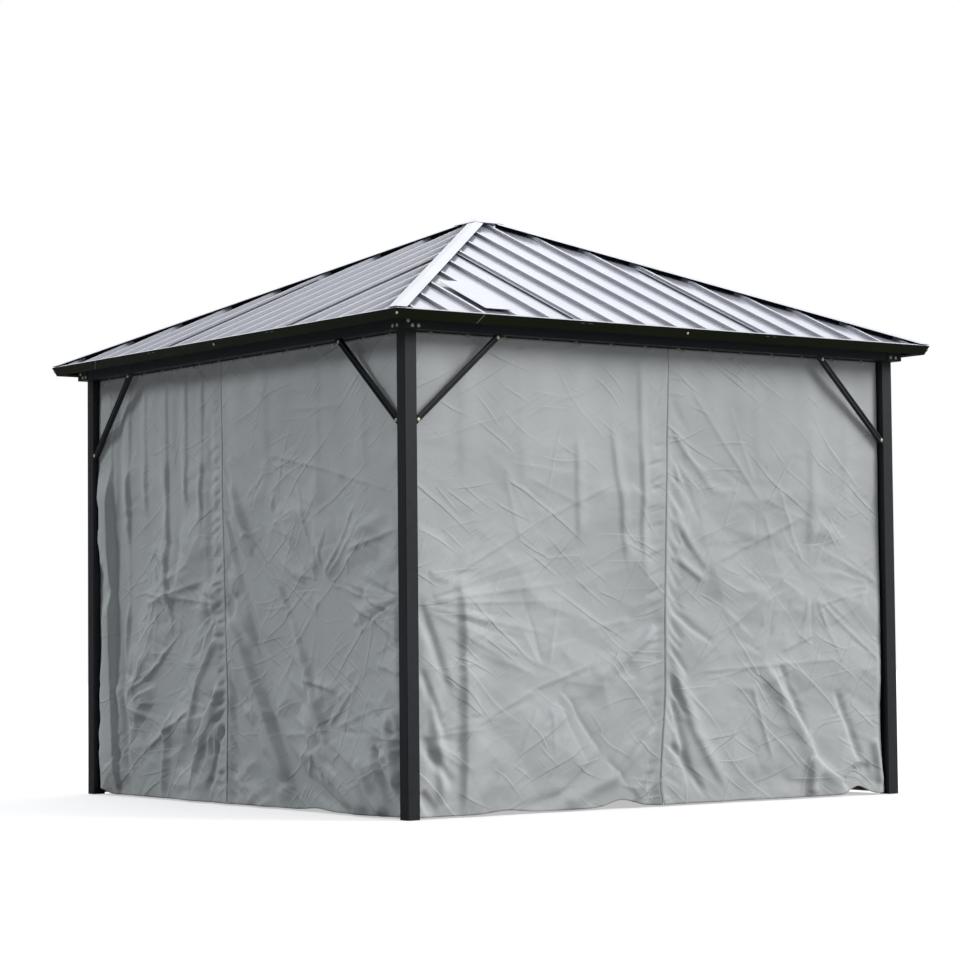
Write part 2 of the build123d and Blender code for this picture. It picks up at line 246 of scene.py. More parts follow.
def apply_modifier(piece: Piece, kind: str, **settings: object) -> None:
    """Adds one modifier to a piece and applies it at once.

    Args:
        piece: The mesh to change.
        kind: Blender's name for the modifier.
        **settings: Values set on the modifier.
    """
    modifier = piece.modifiers.new(kind.title(), kind)
    for key, value in settings.items():
        setattr(modifier, key, value)
    select_only(piece)
    bpy.ops.object.modifier_apply(modifier=modifier.name)


def smooth_faces(piece: Piece, degrees: float = 180.0) -> None:
    """Shades a piece smoothly, except across edges sharper than an angle."""
    select_only(piece)
    bpy.ops.object.shade_smooth_by_angle(angle=math.radians(degrees))


# Finishes


class Graph:
    """The shader network of a material or a world while it is being wired."""

    def __init__(self, owner: bpy.types.ID) -> None:
        """Empties the network of a material or world."""
        owner.use_nodes = True
        self.owner = owner
        self.tree = owner.node_tree
        self.tree.nodes.clear()

    def add(self, kind: str, inputs: dict[str | int, object] | None = None, **settings: object) -> bpy.types.Node:
        """Adds one shader node.

        Args:
            kind: Blender's node type.
            inputs: Input names or numbers with a constant or another node's output.
            **settings: Properties set on the node itself.

        Returns:
            The new node.
        """
        node = self.tree.nodes.new(kind)
        for key, value in settings.items():
            setattr(node, key, value)
        for key, value in (inputs or {}).items():
            if isinstance(value, Socket):
                self.tree.links.new(value, node.inputs[key])
            else:
                node.inputs[key].default_value = value
        return node

    def noise(self, where: Socket, per_metre: float, detail: float = 2.0) -> Socket:
        """Soft noise with about so many blotches in a metre."""
        node = self.add("ShaderNodeTexNoise", {"Vector": where, "Scale": per_metre, "Detail": detail})
        return node.outputs["Fac"]

    def flat_noise(self, where: Socket, per_metre: float) -> bpy.types.Node:
        """Plain noise over the two coordinates of a flat sheet."""
        inputs = {"Vector": where, "Scale": per_metre, "Detail": 0.0}
        return self.add("ShaderNodeTexNoise", inputs, noise_dimensions="2D")

    def ranged(self, value: Socket, low: float, high: float, to_low: float, to_high: float) -> Socket:
        """Maps a value from one range to another and holds it there."""
        inputs = {0: value, 1: low, 2: high, 3: to_low, 4: to_high}
        return self.add("ShaderNodeMapRange", inputs).outputs[0]

    def mixed(self, share: object, first: object, second: object) -> Socket:
        """Mixes two colours by a share."""
        return self.add("ShaderNodeMix", {0: share, 6: first, 7: second}, data_type="RGBA").outputs[2]

    def sum(self, first: object, second: object, operation: str = "ADD") -> Socket:
        """Works out one sum of two values."""
        return self.add("ShaderNodeMath", {0: first, 1: second}, operation=operation).outputs[0]

    def vector(self, first: object, second: object, operation: str) -> Socket:
        """Works out one sum of two vectors."""
        return self.add("ShaderNodeVectorMath", {0: first, 1: second}, operation=operation).outputs[0]

    def bump(self, height: Socket, depth_mm: float, below: object = None) -> Socket:
        """Raises the surface by a height pattern of a real depth, over an earlier bump if one is given."""
        inputs = {"Height": height, "Distance": depth_mm * MM, "Strength": 1.0}
        if below is not None:
            inputs["Normal"] = below
        return self.add("ShaderNodeBump", inputs).outputs[0]

    def painted(self, inputs: dict[str, object]) -> bpy.types.Material:
        """Ends the network with one principled surface."""
        return self.finish(self.add("ShaderNodeBsdfPrincipled", inputs).outputs[0])

    def finish(self, surface: Socket) -> bpy.types.Material:
        """Ends the network with its surface."""
        self.add("ShaderNodeOutputMaterial", {"Surface": surface})
        return self.owner


@dataclass(frozen=True)
class PowderCoat:
    """Baked powder paint: a fine orange-peel skin, a little dust on it, more of it near the ground. Where asked,
    faces that point upwards take a pale painted highlight.
    """

    name: str
    colour: str
    roughness: float
    dust: float
    shine: float
    painted_top_highlight: bool = False
    dust_colour: str = "#6d675c"
    top_highlight_colour: str = "#c6c8d0"

    def build(self) -> bpy.types.Material:
        """Wires the paint.

        Returns:
            The finished material.
        """
        g = Graph(bpy.data.materials.new(self.name))
        where = g.add("ShaderNodeTexCoord").outputs["Object"]
        peel = g.noise(where, 420.0, 1.0)
        patches = g.noise(where, 2.2, 2.0)
        rub = g.noise(where, 38.0, 2.0)
        height = g.add("ShaderNodeSeparateXYZ", {0: where}).outputs[2]
        near_ground = g.ranged(height, 0.0, 0.35, 1.0, 0.0)
        dusty = g.sum(g.sum(near_ground, rub, "MULTIPLY"), self.dust, "MULTIPLY")
        faded = tinted(self.colour, (1.35, 1.35, 1.35))
        tone = g.mixed(g.ranged(patches, 0.3, 0.7, 0.0, 1.0), linear(self.colour), faded)
        colour = g.mixed(dusty, tone, linear(self.dust_colour))
        # Painted highlight: faces that point upwards turn pale grey, standing in for the sky's reflection on the
        # fascia's top flange.
        if self.painted_top_highlight:
            facing = g.add("ShaderNodeNewGeometry").outputs["True Normal"]
            upright = g.add("ShaderNodeSeparateXYZ", {0: facing}).outputs[2]
            colour = g.mixed(g.ranged(upright, 0.8, 0.88, 0.0, 1.0), colour, linear(self.top_highlight_colour))
        rough = g.ranged(rub, 0.3, 0.7, self.roughness - 0.06, self.roughness + 0.08)
        bump = g.bump(peel, 0.12)
        inputs = {"Base Color": colour, "Roughness": rough, "Normal": bump, "Specular IOR Level": self.shine}
        return g.painted(inputs)


@dataclass(frozen=True)
class CoatedSheet:
    """Coil-coated roof steel: even paint with a soft sheen, slight waves in the pans and faint rain marks."""

    name: str
    colour: str
    roughness: float

    def build(self) -> bpy.types.Material:
        """Wires the sheet's paint.

        Returns:
            The finished material.
        """
        g = Graph(bpy.data.materials.new(self.name))
        where = g.add("ShaderNodeTexCoord").outputs["Object"]
        marks = g.noise(where, 3.5, 5.0)
        waves = g.noise(where, 2.6, 1.0)
        grain = g.noise(where, 650.0, 2.0)
        washed = tinted(self.colour, (0.93, 0.93, 0.95))
        colour = g.mixed(g.ranged(marks, 0.35, 0.75, 0.0, 1.0), linear(self.colour), washed)
        rough = g.ranged(marks, 0.3, 0.7, self.roughness - 0.03, self.roughness + 0.06)
        bump = g.bump(grain, 0.02, g.bump(waves, 1.5))
        lacquer = {"Specular IOR Level": 0.5, "Coat Weight": 0.8, "Coat Roughness": 0.14}
        return g.painted({"Base Color": colour, "Roughness": rough, "Normal": bump, **lacquer})


@dataclass(frozen=True)
class PackingCrease:
    """One family of nearly parallel creases, each steep on one side and easy on the other, in long narrow cells."""

    cell: float
    length: float
    lean: float
    width: float
    depth: float
    share: float
    crowd: float | None = None

    def height(self, g: Graph, cut: Socket) -> Socket:
        """Wires the creases.

        Args:
            g: The network.
            cut: Place on the cut cloth in metres.

        Returns:
            Height from 0 to 1.
        """
        size = (self.length * MM, self.cell * MM, 1.0)
        inputs = {0: cut, 1: (self.lean * 0.01, 0.37, 0.0), 2: (0.0, 0.0, math.radians(self.lean)), 3: size}
        local = g.add("ShaderNodeMapping", inputs, vector_type="TEXTURE").outputs[0]
        cells = g.add("ShaderNodeTexVoronoi", {"Vector": local, "Scale": 1.0}, voronoi_dimensions="2D")
        chance = g.add("ShaderNodeSeparateColor", {0: cells.outputs["Color"]})
        first, second, third = (chance.outputs[i] for i in range(3))
        split = g.add("ShaderNodeSeparateXYZ", {0: g.vector(local, cells.outputs["Position"], "SUBTRACT")})
        along = split.outputs[0]
        tilt = g.sum(along, g.ranged(first, 0.0, 1.0, -0.7, 0.7), "MULTIPLY")
        bend = g.sum(g.sum(along, along, "MULTIPLY"), g.ranged(second, 0.0, 1.0, -0.6, 0.6), "MULTIPLY")
        across = g.sum(g.sum(split.outputs[1], tilt), bend)
        across = g.sum(across, g.sum(g.sum(first, 0.5, "SUBTRACT"), 0.0, "SIGN"), "MULTIPLY")
        width = self.width / self.cell
        steep = g.ranged(across, 0.0, width, 1.0, 0.0)
        easy = g.ranged(across, -3.5 * width, 0.0, 0.0, 1.0)
        ends = g.ranged(g.sum(along, 0.0, "ABSOLUTE"), 0.15, 0.55, 1.0, 0.0)
        line = g.sum(g.sum(steep, easy, "MINIMUM"), ends, "MULTIPLY")
        return g.sum(line, g.ranged(third, 1.0 - self.share, 1.25 - self.share, 0.0, 1.0), "MULTIPLY")


PACKING_CREASES = (
    PackingCrease(170.0, 620.0, 28.0, 5.5, 2.4, 0.6),
    PackingCrease(190.0, 560.0, -38.0, 5.5, 2.2, 0.55),
    PackingCrease(150.0, 420.0, 62.0, 5.0, 2.0, 0.5),
    PackingCrease(90.0, 330.0, 8.0, 4.5, 1.9, 0.6, 2.0),
    PackingCrease(76.0, 250.0, -34.0, 4.2, 1.8, 0.7, 2.8),
    PackingCrease(42.0, 140.0, 36.0, 3.6, 1.4, 0.7, 3.9),
)


@dataclass(frozen=True)
class CreasedPolyester:
    """Plain-weave polyester that was packed tight: threads and fine creases."""

    name: str
    colour: str

    def build(self) -> bpy.types.Material:
        """Wires the cloth.

        Returns:
            The finished material.
        """
        g = Graph(bpy.data.materials.new(self.name))
        cut = g.add("ShaderNodeTexCoord").outputs["UV"]
        warp = self.threads(g, cut, "X")
        weft = self.threads(g, cut, "Y")
        wander = g.vector(g.flat_noise(cut, 3.0).outputs["Color"], (0.5, 0.5, 0.5), "SUBTRACT")
        bent = g.vector(cut, g.vector(wander, (0.05, 0.05, 0.0), "MULTIPLY"), "ADD")
        slub = g.noise(cut, 160.0, 1.0)
        patches = g.noise(cut, 1.6, 3.0)
        deep = tinted(self.colour, (0.88, 0.89, 0.89))
        tone = g.mixed(g.ranged(patches, 0.35, 0.65, 0.0, 1.0), linear(self.colour), deep)
        colour = g.mixed(g.ranged(slub, 0.4, 0.75, 0.0, 0.35), tone, deep)
        total = g.sum(g.sum(warp, weft), 0.06, "MULTIPLY")
        for crease in PACKING_CREASES:
            lines = g.sum(crease.height(g, self.shifted(g, bent, total)), crease.depth, "MULTIPLY")
            if crease.crowd:
                crowded = g.ranged(g.flat_noise(bent, crease.crowd).outputs[0], 0.42, 0.58, 0.08, 1.0)
                lines = g.sum(lines, crowded, "MULTIPLY")
            total = g.sum(total, lines)
        bump = g.bump(total, 1.0)
        return g.painted({"Base Color": colour, "Roughness": 0.75, "Normal": bump, "Specular IOR Level": 0.3})

    def shifted(self, g: Graph, cut: Socket, relief: Socket) -> Socket:
        """Shifts a pattern by a hair with the relief under it, so that patterns are worked out one by one."""
        inputs = {0: relief, 1: (0.000001, 0.000001, 0.0), 2: cut}
        return g.add("ShaderNodeVectorMath", inputs, operation="MULTIPLY_ADD").outputs[0]

    def threads(self, g: Graph, cut: Socket, way: str) -> Socket:
        """Threads that run across one axis of the cut cloth."""
        inputs = {"Vector": cut, "Scale": THREAD_SCALE}
        return g.add("ShaderNodeTexWave", inputs, bands_direction=way).outputs["Fac"]


@dataclass(frozen=True)
class ZincPlate:
    """Zinc-plated small steel under a pale lacquer, its warm near-white colour partly the plating and partly a
    painted highlight, so that the small fittings show as bright dots from all sides.
    """

    name: str
    colour: str
    roughness: float

    def build(self) -> bpy.types.Material:
        """Wires the plating.

        Returns:
            The finished material.
        """
        g = Graph(bpy.data.materials.new(self.name))
        where = g.add("ShaderNodeTexCoord").outputs["Object"]
        bloom = g.noise(where, 240.0, 4.0)
        colour = g.mixed(bloom, linear(self.colour), tinted(self.colour, (0.7, 0.7, 0.72)))
        rough = g.ranged(bloom, 0.3, 0.7, self.roughness, self.roughness + 0.15)
        bump = g.bump(g.noise(where, 900.0, 2.0), 0.02)
        return g.painted({"Base Color": colour, "Metallic": 0.3, "Roughness": rough, "Normal": bump})


@dataclass(frozen=True)
class WhiteFloor:
    """Studio floor that stays white in view and still takes the pavilion's shadow."""

    name: str
    own_light: float
    albedo: float
    bounce: float

    def build(self) -> bpy.types.Material:
        """Wires the floor.

        Returns:
            The finished material.
        """
        g = Graph(bpy.data.materials.new(self.name))
        seen = g.add("ShaderNodeLightPath").outputs["Is Camera Ray"]
        glow = g.add("ShaderNodeEmission", {"Strength": g.sum(seen, self.own_light, "MULTIPLY")}).outputs[0]
        thrown, shown = ((value, value, value, 1.0) for value in (self.bounce, self.albedo))
        grey = g.mixed(seen, thrown, shown)
        matt = g.add("ShaderNodeBsdfDiffuse", {"Color": grey}).outputs[0]
        return g.finish(g.add("ShaderNodeAddShader", {0: glow, 1: matt}).outputs[0])


@dataclass
class FinishBook:
    """Every finish of the pavilion, under the record's slot names."""

    finishes: dict[str, bpy.types.Material] = field(default_factory=dict)

    def build(self) -> None:
        """Makes the finishes once."""
        self.finishes = {
            "frame_paint": PowderCoat("Charcoal powder coat", "#191e23", 0.45, 0.02, 0.4).build(),
            # The fascia paint lightens its upward faces as a painted highlight.
            "fascia_paint": PowderCoat("Near-black powder coat", "#151b0c", 0.42, 0.0, 0.1, True).build(),
            "roof_frame": PowderCoat("Rafter powder coat", "#202224", 0.5, 0.0, 0.1).build(),
            "roof_sheet": CoatedSheet("Coil-coated roof sheet", "#a6a8b3", 0.28).build(),
            "curtain_fabric": CreasedPolyester("Creased polyester cloth", "#c9ccce").build(),
            # Painted highlight: the near-white cream lightens the plating so that the small fittings read as bright
            # dots even in the eave's shade.
            "hook_steel": ZincPlate("Zinc plate", "#f3ebd2", 0.3).build(),
        }

    def dress(self) -> None:
        """Gives every piece of the frame its finish."""
        slots = {part["node"]: part["material_slot"] for part in frame["record"]["subparts"]}
        for name, node in frame["nodes"].items():
            node.data.materials.clear()
            node.data.materials.append(self.finishes[slots[name]])

    def give(self, piece: Piece, slot: str) -> Piece:
        """Gives a new piece one of the finishes and lets it ride with the frame.

        Args:
            piece: A finished mesh.
            slot: Name of the record's slot.

        Returns:
            The same piece.
        """
        piece.data.materials.clear()
        piece.data.materials.append(self.finishes[slot])
        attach(piece, "root")
        return piece


# Curtains


@dataclass(frozen=True)
class Fold:
    """One fold or crease of a curtain, in millimetres.

    It follows a line on the wall, lifts the cloth by a height that may change towards its end, and falls off over
    one width on each side of the line. A sharp one has a ridge instead of a round back.
    """

    path: Line
    height: float
    above: float = 30.0
    below: float = 30.0
    end: float | None = None
    sharp: bool = False

    def relief(self, x: np.ndarray, z: np.ndarray) -> np.ndarray:
        """How far the fold lifts each point of the cloth.

        Args:
            x: Places along the wall.
            z: Heights.

        Returns:
            Lift at each point.
        """
        points = np.array(self.path, float)
        lengths = np.hypot(*np.diff(points, axis=0).T)
        total = lengths.sum()
        best = np.full(x.shape, np.inf)
        signed = np.zeros(x.shape)
        along = np.zeros(x.shape)
        start = 0.0
        for (x0, z0), (x1, z1), length in zip(points[:-1], points[1:], lengths):
            dx, dz = (x1 - x0) / length, (z1 - z0) / length
            t = np.clip((x - x0) * dx + (z - z0) * dz, 0.0, length)
            gap = np.hypot(x - x0 - t * dx, z - z0 - t * dz)
            near = gap < best
            best = np.where(near, gap, best)
            side = np.where((x - x0) * dz - (z - z0) * dx > 0, 1.0, -1.0)
            signed = np.where(near, gap * side, signed)
            along = np.where(near, (start + t) / total, along)
            start += length
        width = np.where(signed > 0, self.below, self.above)
        shape = np.exp(-best / width) if self.sharp else np.exp(-((best / width) ** 2))
        last = self.height if self.end is None else self.end
        fade = smooth_step(-0.02, 0.16, along) * (1 - smooth_step(0.84, 1.02, along) * 0.8)
        return (self.height + (last - self.height) * along) * shape * fade


@dataclass(frozen=True)
class Fan:
    """Straight wrinkles that run out from one pulled place; turns are in degrees from the right, upwards."""

    centre: tuple[float, float]
    reach: float
    turn: float
    sweep: float
    count: int
    height: float = 5.0
    seed: int = 1

    def folds(self) -> list[Fold]:
        """The wrinkles as single folds.

        Returns:
            One sharp fold for each wrinkle, every third of them a valley.
        """
        rng = np.random.default_rng(self.seed)
        made = []
        for number in range(self.count):
            share = (number + rng.uniform(0.15, 0.85)) / self.count
            turn = math.radians(self.turn - self.sweep + 2 * self.sweep * share)
            start = rng.uniform(0.03, 0.3) * self.reach
            stop = rng.uniform(0.45, 1.0) * self.reach
            bow = rng.uniform(-0.07, 0.07)
            ends = []
            for far, bent in ((start, 0.0), ((start + stop) / 2, bow), (stop, bow)):
                way = turn + bent
                ends.append((self.centre[0] + far * math.cos(way), self.centre[1] + far * math.sin(way)))
            lift = self.height * rng.uniform(0.6, 1.2) * (-0.8 if number % 3 == 2 else 1.0)
            made.append(Fold(tuple(ends), lift, rng.uniform(12.0, 20.0), rng.uniform(6.0, 9.0), lift * 0.35, True))
        return made


@dataclass(frozen=True)
class Crumple:
    """Facets that packing leaves in cloth: scattered heights joined by straight creases."""

    spacing: float
    height: float
    lean: float
    stretch: float
    seed: int

    def relief(self, x: np.ndarray, z: np.ndarray) -> np.ndarray:
        """Height of the facets at each point of the cloth.

        Args:
            x: Places along the wall.
            z: Heights.

        Returns:
            Lift at each point.
        """
        rng = np.random.default_rng(self.seed)
        c, s = math.cos(math.radians(self.lean)), math.sin(math.radians(self.lean))
        a = (x * c + z * s) / (self.spacing * self.stretch)
        b = (z * c - x * s) / self.spacing
        columns = np.arange(math.floor(a.min()) - 1, math.ceil(a.max()) + 2)
        rows = np.arange(math.floor(b.min()) - 1, math.ceil(b.max()) + 2)
        spots = np.array([(i, j) for i in columns for j in rows], float)
        spots += rng.uniform(-0.46, 0.46, spots.shape)
        lifts = rng.normal(0.0, self.height, len(spots))
        made = delaunay_2d_cdt([Vector(p) for p in spots], [], [], 0, 1e-6)
        corners = np.array([v[:] for v in made[0]])
        lifts = np.array([lifts[source[0]] for source in made[3]])
        out = np.zeros(x.shape)
        for face in made[2]:
            (ax, ay), (bx, by), (cx, cy) = corners[list(face)]
            inside = (a >= min(ax, bx, cx)) & (a <= max(ax, bx, cx))
            inside &= (b >= min(ay, by, cy)) & (b <= max(ay, by, cy))
            area = (bx - ax) * (cy - ay) - (cx - ax) * (by - ay)
            pa, pb = a[inside], b[inside]
            second = ((pa - ax) * (cy - ay) - (cx - ax) * (pb - ay)) / area
            third = ((bx - ax) * (pb - ay) - (pa - ax) * (by - ay)) / area
            first = 1 - second - third
            within = (first >= -1e-9) & (second >= -1e-9) & (third >= -1e-9)
            hit = np.flatnonzero(inside)[within]
            height = first * lifts[face[0]] + second * lifts[face[1]] + third * lifts[face[2]]
            out[hit] = height[within]
        return out


@dataclass(frozen=True)
class Seam:
    """The zipped line between the two panels of a wall: stations of height, place along the wall and stand-off."""

    stations: Triples
    pitch: tuple[float, float] = (38.0, 92.0)
    lively_part: tuple[float, float] = (420.0, 1640.0)
    pulled_part: tuple[float, float] = (60.0, 1830.0)

    def place(self, z: np.ndarray) -> np.ndarray:
        """Place along the wall at each height."""
        return smooth_line(tuple((h, p) for h, p, _ in self.stations), z)

    def stand(self, z: np.ndarray) -> np.ndarray:
        """Distance in front of the hanging plane at each height."""
        return smooth_line(tuple((h, s) for h, _, s in self.stations), z)

    def puckers(self, half: Half, seed: int) -> list[Fold]:
        """Short creases that the zip's stitching pulls into one panel.

        Args:
            half: The panel that they run into.
            seed: Start of the chance in their places.

        Returns:
            The creases, from the hem up.
        """
        rng = np.random.default_rng(seed)
        way = -1.0 if half is Half.LEFT else 1.0
        steep = (0.1, 0.6) if half is Half.LEFT else (0.9, 1.9)
        folds = []
        height, top = self.pulled_part
        while height < top:
            start = float(self.place(np.array([height]))[0])
            lively = 1.0 if self.lively_part[0] < height < self.lively_part[1] else 0.55
            reach = rng.uniform(45.0, 130.0)
            drop = rng.uniform(*steep) * reach * (1.0 if height > 300 else 0.4)
            depth = -rng.uniform(8.0, 16.0) * lively
            width = rng.uniform(10.0, 16.0)
            path = ((start + way * 2, height), (start + way * reach, max(height - drop, 20.0)))
            folds.append(Fold(path, depth, width * 1.3, width * 0.7, depth * 0.3))
            height += rng.uniform(*self.pitch)
        return folds


@dataclass
class CurtainPanel:
    """One hung curtain panel, from its flat cut to its folds.

    The lifts are places where the hem rises off the ground: place along the wall, half width and height. The edge
    gives how far the panel reaches towards its post at each height. Crumple scales its facets and fullness its
    folds, and the limit is how far it may stand in front of its plane.
    """

    side: Side
    half: Half
    seam: Seam
    folds: list[Fold]
    lifts: Triples
    seed: int
    edge: Line = ((CLOTH_HEM, POST_EDGE), (CLOTH_TOP, POST_EDGE))
    columns: int = 176
    rows: int = 270
    crumple: float = 1.0
    fullness: float = 1.3
    limit: float = 52.0

    @property
    def name(self) -> str:
        """The name of the panel's node in the frame."""
        return f"{self.side.word}_{self.half.value}_curtain"

    def build(self, book: FinishBook) -> Piece:
        """Cuts the cloth flat, hangs it in its folds and gives it its thickness.

        Args:
            book: The finishes.

        Returns:
            The finished panel.
        """
        deselect()
        bpy.ops.mesh.primitive_grid_add(x_subdivisions=self.columns, y_subdivisions=self.rows, size=1.0)
        piece = named(self.name.replace("_curtain", "_cloth"))
        count = len(piece.data.vertices)
        flat = np.zeros(count * 3)
        piece.data.vertices.foreach_get("co", flat)
        flat = flat.reshape(-1, 3)
        x, out, z = self.hang(flat[:, 0] + 0.5, flat[:, 1] + 0.5)
        placed = np.column_stack([x * MM, -out * MM, z * MM])
        turn = np.array(self.side.turn.to_3x3())
        piece.data.vertices.foreach_set("co", (placed @ turn.T).ravel())
        self.scale_uv(piece)
        apply_modifier(piece, "SOLIDIFY", thickness=CLOTH_THICKNESS * MM, offset=0.0)
        smooth_faces(piece)
        book.give(piece, "curtain_fabric")
        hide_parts(self.name)
        return piece

    def flat_size(self) -> tuple[float, float]:
        """Width and length of the cut cloth in metres, with its fullness and the turned hem."""
        width = float(POST_EDGE + (self.middle() if self.half is Half.LEFT else -self.middle()))
        return round(width * FULLNESS_SHARE * MM, 3), round((CLOTH_TOP - CLOTH_HEM + HEM_TURN) * MM, 3)

    def middle(self) -> float:
        """Mean place of the seam along the wall."""
        return float(np.mean(self.seam.place(np.linspace(CLOTH_HEM, CLOTH_TOP, 20))))

    def scale_uv(self, piece: Piece) -> None:
        """Scales the flat cloth's own coordinates to metres of cloth, each panel from its own part of the roll."""
        width, length = self.flat_size()
        layer = piece.data.uv_layers[0]
        values = np.zeros(len(layer.uv) * 2)
        layer.uv.foreach_get("vector", values)
        values = values.reshape(-1, 2) * (width, length) + (self.seed * 0.37, 0.0)
        layer.uv.foreach_set("vector", values.ravel())

    def hang(self, u: np.ndarray, v: np.ndarray) -> tuple[np.ndarray, np.ndarray, np.ndarray]:
        """Places each point of the flat cloth on the wall.

        Args:
            u: Share of the width, from the panel's left edge.
            v: Share of the length, from the hem.

        Returns:
            Place along the wall, distance from the centre plane and height, in millimetres.
        """
        z = CLOTH_HEM + v * (CLOTH_TOP - CLOTH_HEM)
        seam = self.seam.place(z)
        post = smooth_line(self.edge, z)
        if self.half is Half.LEFT:
            left, right, from_seam = -post, seam - SEAM_GAP, 1 - u
        else:
            left, right, from_seam = seam + SEAM_GAP, post, u
        x = left + u * (right - left)
        width = right - left
        drop = sum(h * np.exp(-(((x - c) / w) ** 2)) for c, w, h in self.lifts)
        z = z + drop * (1 - v) ** 6
        out = self.relief(x, z)
        to_seam = from_seam * width
        to_post = (1 - from_seam) * width
        stand = self.seam.stand(z)
        out = stand + (out - stand) * smooth_step(*SEAM_REACH, to_seam)
        out = calmed(out, z)
        at_post = POST_STAND + POST_SHARE * out
        out = at_post + (out - at_post) * smooth_step(*POST_REACH, to_post)
        out = self.held(out, z)
        return x, CLOTH_PLANE + out, z

    def relief(self, x: np.ndarray, z: np.ndarray) -> np.ndarray:
        """Folds, billow and facets of the whole panel, in front of the hanging plane."""
        fall = np.clip(1 - z / CLOTH_TOP, 0.0, 1.0)
        lively = 0.3 + 0.7 * smooth_step(0.08, 0.42, fall)
        lean = 34.0 if self.half is Half.LEFT else -34.0
        out = 5.0 + 9.0 * fall
        layers = (
            Crumple(300.0, 8.0, lean * 1.4, 1.6, self.seed),
            Crumple(150.0, 5.5, lean, 1.8, self.seed + 1),
            Crumple(90.0, 4.0, -lean * 0.7, 2.0, self.seed + 2),
            Crumple(50.0, 2.0, lean * 0.4, 2.0, self.seed + 3),
        )
        for layer in layers:
            out = out + layer.relief(x, z) * lively * self.crumple
        for fold in self.folds + self.seam.puckers(self.half, self.seed + 7):
            out = out + self.fullness * fold.relief(x, z)
        pleat = np.cos(2 * np.pi * (x - self.middle()) / HEAD_PLEAT)
        return out - 3.0 * pleat * (1 - smooth_step(0.02, 0.3, fall))

    def held(self, out: np.ndarray, z: np.ndarray) -> np.ndarray:
        """Keeps the cloth behind the braces at the top and off its own hanging plane."""
        most = BRACE_CLEAR + (self.limit - BRACE_CLEAR) * smooth_step(*BRACE_PART, z)
        low, soft = 0.2, 5.0
        out = low + soft * np.log1p(np.exp(np.clip((out - low) / soft, -30, 30)))
        return most - soft * np.log1p(np.exp(np.clip((most - out) / soft, -30, 30)))


FRONT_SEAM = Seam((
    (0, -10, 26), (70, -38, 26), (200, -28, 24), (460, 2, 20), (890, 12, 15), (1330, 30, 10), (1990, 58, 1),
))
LEFT_SEAM = Seam((
    (0, -84, 30), (120, -80, 28), (490, -82, 22), (1060, -118, 15), (1360, -138, 10), (1990, -158, 1),
), (30.0, 62.0))
RIGHT_SEAM = Seam(((0, 12, 26), (260, -16, 24), (800, 6, 17), (1400, -8, 10), (1990, 4, 1)))
BACK_SEAM = Seam(((0, -20, 26), (300, 10, 23), (900, -8, 16), (1400, 8, 10), (1990, 0, 1)))
SEAMS = {Side.FRONT: FRONT_SEAM, Side.LEFT: LEFT_SEAM, Side.RIGHT: RIGHT_SEAM, Side.BACK: BACK_SEAM}

FRONT_LEFT_FOLDS = [
    Fold(((10, 790), (-310, 620), (-620, 400), (-1020, 50)), 17, 55, 26, 12),
    Fold(((-150, 450), (-330, 235), (-560, 60), (-760, 20)), -16, 42, 26),
    Fold(((-20, 380), (-280, 140), (-610, 20)), 17, 40, 22),
    Fold(((-5, 220), (-180, 0)), 12, 30, 18),
    Fold(((10, 800), (-180, 690), (-340, 590), (-550, 540)), 10, 36, 16, 3),
    Fold(((-1080, 1000), (-1060, 720), (-1065, 0)), 18, 90, 24),
    Fold(((-1300, 900), (-1230, 740), (-1140, 500)), -20, 18, 26, -7),
    Fold(((-1290, 620), (-1230, 480), (-1170, 330)), -16, 16, 22, -6),
    Fold(((-1290, 340), (-1210, 220), (-1120, 130)), -22, 20, 24, -8),
    Fold(((-1300, 110), (-1220, 20)), -20, 20, 22),
    Fold(((-1240, 560), (-1180, 60)), 12, 34, 22),
    Fold(((-460, 1620), (-455, 1150)), 5, 34, 14),
    Fold(((-270, 1680), (-190, 1050)), 7, 34, 14),
    Fold(((-105, 1960), (-100, 1050)), 8, 26, 12),
    Fold(((-760, 1960), (-740, 1350)), 4, 60, 30),
    Fold(((-1060, 1960), (-1050, 1400)), 4, 55, 30),
    Fold(((-580, 530), (-400, 300), (-200, 90)), -6, 14, 9, sharp=True),
    Fold(((-1020, 370), (-680, 530), (-340, 640)), 7, 20, 8, sharp=True),
    Fold(((-1100, 1000), (-640, 1240), (-230, 1410)), 6, 20, 8, sharp=True),
    *Fan((-1330, 880), 900, 6, 34, 15, 6, 5).folds(),
    *Fan((-1330, 330), 520, 10, 40, 8, 6, 6).folds(),
    *Fan((-640, 560), 460, 20, 150, 11, 5, 7).folds(),
    *Fan((0, 830), 620, 208, 26, 9, 6, 8).folds(),
    *Fan((-860, 1480), 520, -30, 60, 7, 3.5, 9).folds(),
]

